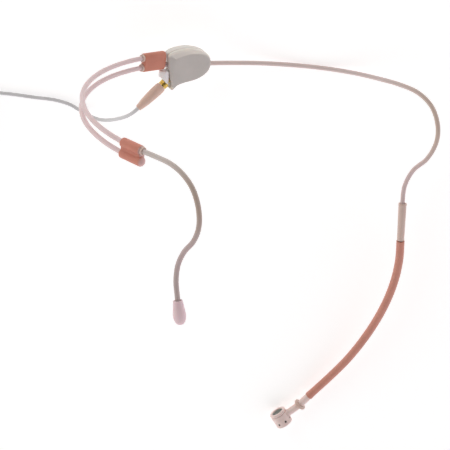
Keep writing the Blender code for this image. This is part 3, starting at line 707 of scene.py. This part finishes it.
def make_sleeve(name, angle, length, body, node, bushes, closed=()):
    """Sleeve with rounded ends, its bores, and the bushes where the wires come out.

    A lobe is (end, wire), each a sign. closed lists the lobes whose end is domed.
    """
    place = arc_placement(angle)
    half = length / 2
    sagitta = half**2 / 2 / BAND_R
    shift = place @ Matrix.Translation((0, 0.35 * sagitta * MM, 0))
    ends = [(0.82, 0.0), (0.90, 0.06), (0.96, 0.22), (1.0, 0.55)]
    rings = [[(*p, -half + back) for p in sleeve_rim(s)] for s, back in ends]
    rings += [[(*p, half - back) for p in sleeve_rim(s)] for s, back in ends[::-1]]
    piece = loft(name, rings, shift)
    domes, cuts = [], []
    for end, wire in closed:
        spot = shift @ Matrix.Translation((wire * WIRE_Y * MM, 0, end * half * MM))
        dome = [(SLEEVE_R * math.sin(t), end * (1.5 * math.cos(t) - 0.1)) for t in quarter(9)]
        domes.append(lathe("dome", dome + [(SLEEVE_R, -end * 1.2), (0, -end * 1.2)], spot, 48, ease=0))
    for wire in (1, -1):
        hole = shift @ Matrix.Translation((wire * WIRE_Y * MM, 0, 0))
        low = -half + 1.2 if (-1, wire) in closed else -half - 1
        cuts.append(drill(SLEEVE_BORE, low, half + 1, hole))
    for end, wire in bushes:
        spot = shift @ Matrix.Translation((wire * WIRE_Y * MM, 0, end * half * MM))
        cuts.append(drill(BUSH_R + SNUG, min(0, end) - 0.5, max(0, end) + 0.5, spot, 32))
    combine(piece, domes, "UNION")
    cut(piece, cuts)
    # a sleeve with a domed end takes the look with the painted highlight
    settle(piece, "salmon_end" if closed else "salmon", body, [node])
    for end, wire in bushes:
        middle = end * (half + GAP / 2 + BUSH_LEN / 2 - 0.45)
        spot = arc_placement(angle - math.degrees(middle / BAND_R))
        spot = spot @ Matrix.Translation((wire * WIRE_Y * MM, 0, 0))
        label = "upper" if wire > 0 else "lower"
        section = ring_section(WIRE_R + SNUG, BUSH_R, -BUSH_LEN / 2 - 0.3, BUSH_LEN / 2 + 0.3)
        bush = lathe(f"{name}_bush_{label}", section, spot, 40, 0.3, True)
        settle(bush, "blush", body, [f"{node}_bush_{label}"])


def make_ear_tip():
    """The soft bead on the end of the other ear's hook."""
    start, end = other_arm_point(*OTHER_HOOK[-1]), other_arm_point(*TIP_END)
    axis, length = (end - start).normalized(), (end - start).length
    profile = [(0, -1.9), (1.05, -1.9), (1.1, 0.9), (1.62, 0.9), (1.72, 0.0), (1.92, -1.6), (2.14, -3.2)]
    profile += [(TIP_R, -length + 3.6), (2.2, -length + 2.7), (2.0, -length + 1.7), (1.6, -length + 0.8)]
    profile += [(1.0, -length + 0.2), (0, -length)]
    tip = lathe("ear_tip_bead", profile, along(start - axis * 0.9, -axis), 64, 0.6)
    settle(tip, "soft_tip", "far_ear", ["ear_tip"])


# housing


def housing_ring(share, height, scale=1.0):
    """The housing's outline set in by a share of its rim's width, then scaled about its middle."""
    middle = Vector(HOUSING_MIDDLE)
    loop = smooth([(*p, 0) for p in HOUSING_OUTLINE], 0.45, loop=True)[:-1]
    ring = []
    for k, point in enumerate(loop):
        run = (loop[(k + RIM_SPAN) % len(loop)] - loop[k - RIM_SPAN]).normalized()
        lean = min(1.0, max(0.0, point.x * RIM_LEAN[0] + point.y * RIM_LEAN[1]) / RIM_REACH)
        inset = (RIM_LEAST + (RIM_MOST - RIM_LEAST) * lean) * share
        moved = Vector((point.x + run.y * inset, point.y - run.x * inset))
        ring.append((*(middle + (moved - middle) * scale), height))
    return ring


def make_housing():
    """Base with a softened outer edge, and cover with its rim. Both are cut for the knuckle and wire."""
    place = housing_placement()
    low, seam = -HOUSING_HALF, SEAM_AT - SEAM_GAP / 2
    rings = [housing_ring(1.0, low, 0.5)]
    rings += [housing_ring(1 - math.sin(t), low + 0.6 * (1 - math.cos(t))) for t in quarter(6)]
    rings += [housing_ring(0, seam - 0.1), housing_ring(0.1, seam), housing_ring(1.0, seam, 0.6)]
    tray = loft("housing_tray", rings, place)
    top = HOUSING_HALF
    seam += SEAM_GAP
    rings = [housing_ring(1.0, seam, 0.6), housing_ring(0.1, seam), housing_ring(0, seam + 0.1)]
    rings += [housing_ring(share, top - RIM_FALL * (1 - rise)) for share, rise in LID_RIM]
    rings += [housing_ring(1.0, top, s) for s in (0.9, 0.6, 0.3)]
    lid = loft("housing_lid", rings, place)
    wire = [arc_point(MIC_START + 6, -WIRE_Y), arc_point(MIC_START, -WIRE_Y)] + [Vector(p) for p in MIC_ARM]
    for piece, slot, node in ((tray, "shell", "housing_base"), (lid, "face", "housing_cover")):
        channel = sweep("channel", smooth(wire, WIRE_STEP)[:CHANNEL_POINTS], WIRE_R + 0.12, 24)
        seat = drill(KNUCKLE_R + 0.1, -2.0, 3.2, knuckle_placement(), 40)
        cut(piece, [channel, seat, socket_bore()])
        settle(piece, slot, "headset", [node])


def socket_bore():
    """The hole for the plug's pin, through the knuckle and into the housing."""
    return drill(SOCKET_R + 0.1, -7.4, 0.5, plug_placement(), 32)


def make_socket():
    """The knuckle that holds the socket, cut off square to the plug, with a lip round the plug's ring."""
    profile = [(0, 2.9), (KNUCKLE_R, 2.9), (KNUCKLE_R, -1.2), (KNUCKLE_R - 0.2, -1.7)]
    profile += [(KNUCKLE_R - 0.7, -1.95), (0, -2.0)]
    knuckle = lathe("socket_boss", profile, knuckle_placement(), 64, 0.4)
    plug = plug_placement()
    end = drill(4.0, 0.2, 5.0, plug, 48)
    ring_seat = drill(RING_R + 0.14, -0.08, 5.0, plug, 48)
    cut(knuckle, [end, ring_seat, socket_bore()])
    settle(knuckle, "lilac", "headset", ["socket_knuckle"])


# plug and cable


def make_plug():
    """The plug's knurled gold ring and its tapered boot."""
    place = plug_placement()
    length = (in_housing(PLUG_TO) - in_housing(PLUG_FROM)).length
    ring = [(RING_R, RING_LEN), (RING_R, 1.5), (RING_R - 0.14, 1.44), (RING_R - 0.14, 1.3), (RING_R, 1.24)]
    ring += [(RING_R, 0.0), (RING_BORE, 0.0), (RING_BORE, RING_LEN)]
    gold = lathe("plug_gold_ring", ring, place, 96, 0.08, True, (24, 0.06, 0.15, 1.2))
    settle(gold, "gold", "plug", ["plug_ring"])
    start = RING_LEN + 0.12
    profile = [(0, length - 3.5), (CORD_R + 0.1, length - 3.5), (CORD_R + 0.1, length), (BOOT_TIP_R, length)]
    profile += [
        (1.38, length - 1.3), (1.78, length - 3.6), (BOOT_R, start + 4.4), (BOOT_R + 0.02, start + 2.4),
    ]
    profile += [(BOOT_R - 0.02, start + 0.8), (RING_R + 0.05, start), (0, start)]
    boot = lathe("plug_boot_shell", profile, place, 64, 0.35)
    settle(boot, "boot", "plug", ["plug_boot"])
    return [gold, boot]


def coil_points():
    """The coil's turns: in and out across its columns, one layer above another, wound anticlockwise."""
    inner = COIL_OUTER - COIL_PITCH * (COIL_COLUMNS - 1)
    stages = []
    for layer in range(COIL_LAYERS):
        ends = (COIL_OUTER, inner) if layer % 2 == 0 else (inner, COIL_OUTER)
        z = COIL_Z + COIL_PITCH * layer
        stages.append((COIL_COLUMNS - 1, ends[0], ends[1], z, z))
        if layer < COIL_LAYERS - 1:
            stages.append((1, ends[1], ends[1], z, z + COIL_PITCH))
    stages.append((110 / 360, COIL_OUTER, COIL_OUTER + 0.5, z, z))
    points, angle = [], math.pi / 2
    for turns, r0, r1, z0, z1 in stages:
        steps = round(turns * 30)
        for k in range(steps):
            share = k / steps
            a = angle + math.tau * turns * share
            lift = share * share * (3 - 2 * share)
            r, z = r0 + (r1 - r0) * share, z0 + (z1 - z0) * lift
            points.append((COIL_AT[0] + r * math.cos(a), COIL_AT[1] + r * math.sin(a), z))
        angle += math.tau * turns
    return points


def make_cable(plug_pieces):
    """The whole cord: down from the plug, along the table, round the coil and out to the jack."""
    inside = in_housing(PLUG_TO) + (in_housing(PLUG_FROM) - in_housing(PLUG_TO)).normalized() * 3.0
    path = smooth([inside] + CORD_ROUTE + coil_points() + LEAD_ROUTE, CORD_STEP)
    cord = sweep("cable_cord", path, CORD_R, 12)
    settle(cord, "cord", "plug", ["cable", "cable_coil", "cable_lead"])
    pieces = plug_pieces + make_tie() + make_jack()


def make_tie():
    """A soft strap round the coil's bundle, with its loose end lapped over the top."""
    at = Matrix.Translation(vec((*COIL_AT, 0)))
    turn = at @ Matrix.Rotation(math.radians(TIE_AT), 4, "Z") @ Matrix.Rotation(math.pi / 2, 4, "X")
    rings = []
    for across in (-TIE_WIDE / 2, TIE_WIDE / 2):
        for off in (TIE_CLEAR, TIE_CLEAR + TIE_THICK):
            x0, x1, y0, y1 = COIL_R_IN - off, COIL_R_OUT + off, COIL_LOW - off, COIL_HIGH + off
            corners = eased([(x0, y0), (x1, y0), (x1, y1), (x0, y1)], 0.9 + off, True, 6)
            rings.append([(*p, across) for p in corners])
    order = [rings[0], rings[1], rings[3], rings[2]]
    verts = [turn @ (Vector(p) * MM) for ring in order for p in ring]
    count = len(order[0])
    faces = []
    for k in range(4):
        faces += bridge(k * count, (k + 1) % 4 * count, count)
    strap = finish_mesh("coil_strap", verts, faces, 30.0)
    settle(strap, "black", "plug", ["coil_tie"])
    y = COIL_HIGH + TIE_CLEAR + TIE_THICK
    lap = [(9.6, y), (14.4, y), (14.4, y + TIE_THICK), (9.6, y + TIE_THICK)]
    rings = [[(*p, z) for p in eased(lap, 0.15, True, 3)] for z in (-TIE_WIDE / 2 + 0.1, TIE_WIDE / 2 - 0.1)]
    end = settle(loft("coil_strap_end", rings, turn), "black", "plug")
    return [strap, end]


def make_jack():
    """Locking 3.5 mm jack: ribbed boot, shell, knurled ring and contacts."""
    place = along(JACK_FROM, (0, -1, 0))
    boot = [(0, 12.0), (3.3, 12.0), (3.15, 9.0)]
    for k in range(5):
        low = 8.2 - 1.6 * k
        size = 3.0 - 0.3 * k
        boot += [(size, low), (size - 0.45, low - 0.25), (size - 0.5, low - 0.65), (size - 0.2, low - 0.9)]
    boot += [(1.35, 0.0), (CORD_R + 0.1, 0.0), (CORD_R + 0.1, 4.0), (0, 4.0)]
    made = [
        settle(lathe("jack_strain_relief", boot, place, 48, 0.15), "black", "plug", ["jack_boot"]),
    ]
    shell = [(2.1, 28.0), (JACK_R - 0.3, 28.0), (JACK_R, 27.7), (JACK_R, 25.6), (JACK_R - 0.2, 25.4)]
    shell += [(JACK_R - 0.2, 25.0), (JACK_R, 24.8), (JACK_R, 12.3), (0, 12.3), (0, 22.0), (2.1, 22.0)]
    made.append(settle(lathe("jack_body", shell, place, 64, 0.2), "nickel", "plug", ["jack_shell"]))
    section = [
        (2.1, 33.0), (JACK_R - 0.5, 33.0), (JACK_R, 32.5), (JACK_R, 28.8), (JACK_R - 0.3, 28.3), (2.1, 28.3),
    ]
    ring = lathe("jack_locking_ring", section, place, 144, 0.1, True, (36, 0.16, 28.9, 32.4))
    made.append(settle(ring, "nickel", "jack_collar", ["jack_ring"]))
    pin = [(0, 43.0), (0.9, 42.2), (1.7, 41.0), (1.4, 39.6), (1.75, 39.2), (1.75, 23.0), (0, 23.0)]
    made.append(settle(lathe("jack_contacts", pin, place, 48, 0.3), "gold", "plug", ["jack_plug"]))
    for k, height in enumerate((38.2, 35.6)):
        section = ring_section(1.5, 1.79, height, height + 0.5)
        band = lathe(f"jack_insulator_{k}", section, place, 48, 0.08, True)
        made.append(settle(band, "black", "plug"))
    return made


# boom and microphone


def make_boom():
    """The coupler, and the boom's sleeve and spring core, swept along its curve."""
    axis = Vector(COUPLER_TO) - Vector(COUPLER_FROM)
    length, bore = axis.length, WIRE_R + SNUG
    r, end_r = COUPLER_R, COUPLER_END_R
    profile = [(0, -length + 6.0), (bore, -length + 6.0), (bore, -length), (r + 0.06, -length)]
    profile += [
        (r + 0.06, -length + 0.9), (r - 0.04, -length + 1.15), (r, -length + 1.4), (end_r, -0.3), (end_r, 0),
    ]
    profile += [(GOOSENECK_R + GAP, 0), (GOOSENECK_R + GAP, -6.0), (0, -6.0)]
    tube = lathe("boom_coupler_tube", profile, along(COUPLER_TO, axis), 64, 0.15)
    settle(tube, "blush", "headset", ["boom_coupler"])
    route = smooth(BOOM, BOOM_STEP)

    def sleeve_size(share):
        """Shrunk sleeve with a slightly flared lip at the microphone's end."""
        from_lip = (1 - share) * len(route) * BOOM_STEP
        return BOOM_R + LIP_FLARE * math.exp(-(from_lip**2))

    sleeve = sweep("boom_shrink_sleeve", route, sleeve_size, 32, GOOSENECK_R + 0.1)
    settle(sleeve, "boom", None, ["boom_sleeve"])
    into_coupler = Vector(COUPLER_TO) - axis.normalized() * 5.0
    into_neck = route[-1] + neck_direction() * 2.8
    core = sweep("boom_spring_core", [into_coupler] + route + [into_neck], GOOSENECK_R, 14)
    settle(core, "steel", None, ["boom_gooseneck"])
    for piece in (sleeve, core):
        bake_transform(piece)


def make_neck():
    """The microphone's neck, its collar and the stem that carries the capsule."""
    place = along(BOOM[-1], neck_direction())
    far = (Vector(COLLAR_AT) - Vector(BOOM[-1])).length
    bore = GOOSENECK_R + 0.08
    profile = [(0, 3.3), (bore, 3.3), (bore, 0.05), (NECK_R - 0.08, 0.05), (NECK_R, 0.4)]
    profile += [(NECK_R, far - 0.6), (0, far - 0.6)]
    neck = lathe("microphone_neck", profile, place, 56, 0.15)
    settle(neck, "head", "microphone", ["mic_neck"])
    rim = [(COLLAR_R, 0.3), (COLLAR_R, -0.3), (COLLAR_R - 0.35, -0.62), (0.6, -0.62), (0.6, 0.62)]
    rim.append((COLLAR_R - 0.35, 0.62))
    collar = lathe("microphone_collar", rim, along(COLLAR_AT, neck_direction()), 64, 0.2, True)
    settle(collar, "blush", "microphone", ["mic_collar"])
    towards = Vector(CAPSULE_AT) - Vector(COLLAR_AT)
    reach = towards.length - CAPSULE_R + 0.3
    stem = [
        (0, reach), (STEM_R + 0.12, reach), (STEM_R + 0.12, reach - 0.6), (STEM_R, reach - 0.85),
        (STEM_R, 1.5),
    ]
    stem += [(STEM_R - 0.18, 1.25), (STEM_R - 0.18, 0.5), (0, 0.5)]
    piece = lathe("microphone_stem", stem, along(COLLAR_AT, towards), 56, 0.15)
    settle(piece, "head", "microphone", ["capsule_stem"])


def make_capsule():
    """The drum: its vented body, the dark behind the vents, its front and its grille."""
    drum = along(CAPSULE_AT, CAPSULE_FACE)
    r, half = CAPSULE_R, CAPSULE_HALF
    cup = [
        (0, -half + 0.6), (r - 0.55, -half + 0.6), (r - 0.55, half - 1.4), (r - 0.1, half - 1.4),
        (r, half - 1.55),
    ]
    cup += [(r, -half + 0.35), (r - 0.35, -half), (0, -half)]
    body = lathe("capsule_body", cup, drum, 96, 0.12)
    holes = []
    for k in range(VENTS):
        across = drum @ Matrix.Translation((0, 0, -VENT_LOW * MM))
        across = across @ Matrix.Rotation(math.radians(VENT_TURN + 360 * k / VENTS), 4, "Z")
        across = across @ Matrix.Rotation(math.pi / 2, 4, "Y")
        holes.append(drill(VENT_R + 0.07, r - 0.9, r + 1, across))
        plug = [(0, r - 0.2), (VENT_R + 0.05, r - 0.2), (VENT_R + 0.05, r - 0.5), (0, r - 0.5)]
        settle(lathe(f"vent_screen_{k}", plug, across, 20, 0.03), "dark", "microphone")
    settle(cut(body, holes), "head", "microphone", ["capsule_cup"])
    section = ring_section(r - 0.72, r - 0.58, -half + 0.7, half - 1.6)
    liner = lathe("capsule_liner", section, drum, 64, 0.03, True)
    settle(liner, "dark", "microphone")
    cap = [(r - 0.3, half), (r, half - 0.3), (r, half - 1.15), (r - 0.12, half - 1.28), (2.45, half - 1.28)]
    cap += [(2.45, half - 0.25), (2.7, half)]
    settle(lathe("capsule_front", cap, drum, 96, 0.12, True), "head", "microphone", ["capsule_cap"])
    make_grille(drum, half - 0.75)
    insides = (("capsule_felt", "felt"), ("capsule_cartridge", "steel"), ("capsule_board", "board"))
    for node, material in insides:
        dress(node, material)


def make_grille(drum, height):
    """Woven wire cloth held in a thin rim."""
    radius, pitch, wire, sides = 2.38, 0.34, 0.075, 6
    verts, faces = [], []
    count = int(radius / pitch)
    for way in (0, 1):
        for k in range(-count, count + 1):
            offset = k * pitch
            reach = math.sqrt(radius**2 - offset**2)
            steps = max(8, round(reach * 2 / pitch * 4))
            for i in range(steps + 1):
                run = -reach + 2 * reach * i / steps
                lift = wire * 0.9 * math.cos(math.pi * (run / pitch + k + way))
                for s in range(sides):
                    turn = math.tau * s / sides
                    a, b = offset + wire * math.cos(turn), height + lift + wire * math.sin(turn)
                    point = (a, run, b) if way else (run, a, b)
                    verts.append(drum @ (Vector(point) * MM))
                if i:
                    low, high = len(verts) - 2 * sides, len(verts) - sides
                    for s in range(sides):
                        after = (s + 1) % sides
                        faces.append((low + s, low + after, high + after, high + s))
                else:
                    faces.append(tuple(range(len(verts) - sides, len(verts))))
            faces.append(tuple(range(len(verts) - sides, len(verts))))
    cloth = finish_mesh("grille_cloth", verts, faces)
    settle(cloth, "mesh", "microphone", ["capsule_grille"])
    rim = lathe("grille_rim", ring_section(2.25, 2.44, height - 0.2, height + 0.2), drum, 72, 0.06, True)
    settle(rim, "mesh", "microphone")


def dress(node, material):
    """A CAD node that stays as it is gets its finished material."""
    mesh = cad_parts[node].data
    mesh.materials.clear()
    mesh.materials.append(LOOKS[material])


def dress_insides():
    """Finished materials for the CAD nodes inside, which are drawn as they are."""
    for node, material in (
        ("right_wire_core", "steel"), ("left_wire_core", "steel"), ("socket_shell", "gold"),
        ("socket_insulator", "black"), ("socket_contact", "gold"), ("terminal_board", "board"),
        ("wire_crimp", "steel"), ("plug_pin", "gold"), ("plug_insulator", "black"),
    ):  # fmt: skip
        dress(node, material)


make_camera()
make_light()
make_floor()
LOOKS = make_looks()
make_cable(make_plug())
make_wires()
make_sleeve(
    "upper_sleeve", SLEEVE_UPPER_AT, SLEEVE_UPPER_LEN, "headset", "left_sleeve", [(-1, 1)], [(-1, -1)]
)
make_sleeve("lower_sleeve", SLEEVE_LOWER_AT, SLEEVE_LOWER_LEN, "far_ear", "right_sleeve", [(-1, 1), (-1, -1)])
make_ear_tip()
make_housing()
make_socket()
make_boom()
make_neck()
make_capsule()
dress_insides()
